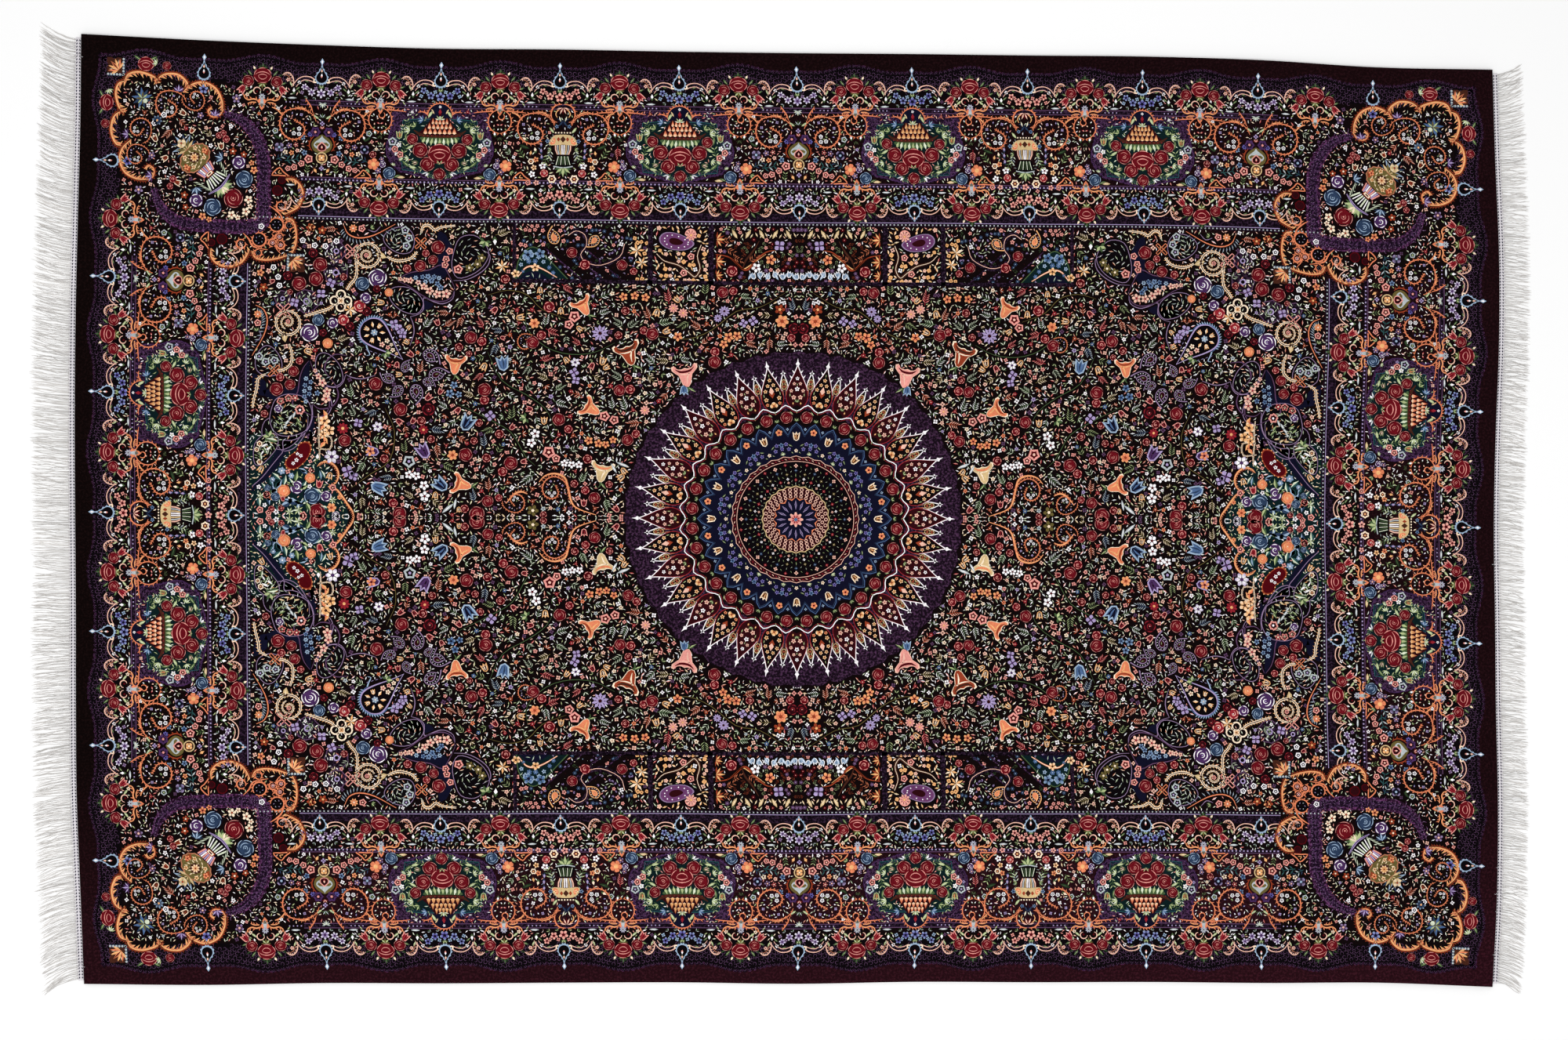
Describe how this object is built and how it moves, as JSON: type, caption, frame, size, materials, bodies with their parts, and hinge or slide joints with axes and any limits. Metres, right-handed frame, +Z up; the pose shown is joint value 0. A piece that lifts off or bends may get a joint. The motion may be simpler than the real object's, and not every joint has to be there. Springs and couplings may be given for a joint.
{
  "type": "persian rug",
  "caption": "Rectangular floor rug, laid flat: cut-pile field with a central medallion and floral borders, a flat-woven band and a warp fringe on each short end.",
  "frame": {"origin": "centre of the footprint, on the floor plane the rug rests on", "axes": "+X along the rug's length from one fringe to the other, +Y across its width, +Z up out of the pile"},
  "size_m": [3.2066, 2.023, 0.01],
  "materials": {
    "pile": "dense short cut pile, dark ground with a many-coloured floral design",
    "flat_weave": "white flat weave with two navy stitch rows",
    "fringe_yarn": "loose off-white warp yarn"
  },
  "bodies": {
    "root": {"rug_body": "pile", "end_band_left": "flat_weave", "end_band_right": "flat_weave", "fringe_left": "fringe_yarn", "fringe_right": "fringe_yarn"}
  },
  "joints": []
}
